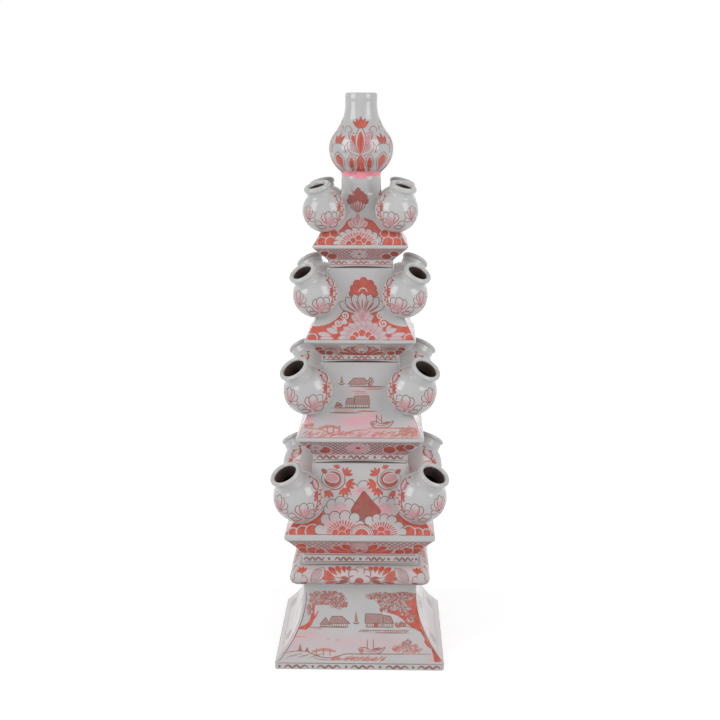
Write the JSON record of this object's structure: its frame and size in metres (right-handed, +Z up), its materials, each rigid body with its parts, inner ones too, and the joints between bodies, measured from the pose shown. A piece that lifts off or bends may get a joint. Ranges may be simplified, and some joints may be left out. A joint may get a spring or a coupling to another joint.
{
  "type": "tulipiere",
  "caption": "Pagoda-shaped porcelain flower tower: loose square tiers with a globe spout at each corner, stacked on a flared pedestal under a gourd bottle.",
  "frame": {"origin": "middle of the pedestal's square foot, on the table", "axes": "+Z up along the tower; -Y is the front that the picture shows, +X is to its right"},
  "size_m": [0.1868, 0.1868, 0.6015],
  "materials": {
    "white_porcelain": "glossy clear glaze over white porcelain",
    "iron_red": "painted iron red with the glaze's shine",
    "pink_wash": "thin pink wash with the glaze's shine",
    "sepia_line": "brown pen line with the glaze's shine"
  },
  "bodies": {
    "pedestal": {"pedestal": "white_porcelain"},
    "lower_tier": {"lower_tier": "white_porcelain", "lower_spout_front_left": "white_porcelain", "lower_spout_front_right": "white_porcelain", "lower_spout_rear_left": "white_porcelain", "lower_spout_rear_right": "white_porcelain"},
    "middle_tier": {"middle_tier": "white_porcelain", "middle_spout_front_left": "white_porcelain", "middle_spout_front_right": "white_porcelain", "middle_spout_rear_left": "white_porcelain", "middle_spout_rear_right": "white_porcelain"},
    "upper_tier": {"upper_tier": "white_porcelain", "upper_spout_front_left": "white_porcelain", "upper_spout_front_right": "white_porcelain", "upper_spout_rear_left": "white_porcelain", "upper_spout_rear_right": "white_porcelain"},
    "top_tier": {"top_tier": "white_porcelain", "top_spout_front_left": "white_porcelain", "top_spout_front_right": "white_porcelain", "top_spout_rear_left": "white_porcelain", "top_spout_rear_right": "white_porcelain", "gourd_bottle": "white_porcelain"}
  },
  "joints": [
    {"name": "lower_lift", "type": "slide", "parent": "pedestal", "child": "lower_tier", "axis": [0, 0, 1], "range_m": [0, 0.06]},
    {"name": "middle_lift", "type": "slide", "parent": "lower_tier", "child": "middle_tier", "axis": [0, 0, 1], "range_m": [0, 0.06]},
    {"name": "upper_lift", "type": "slide", "parent": "middle_tier", "child": "upper_tier", "axis": [0, 0, 1], "range_m": [0, 0.06]},
    {"name": "top_lift", "type": "slide", "parent": "upper_tier", "child": "top_tier", "axis": [0, 0, 1], "range_m": [0, 0.06]}
  ]
}
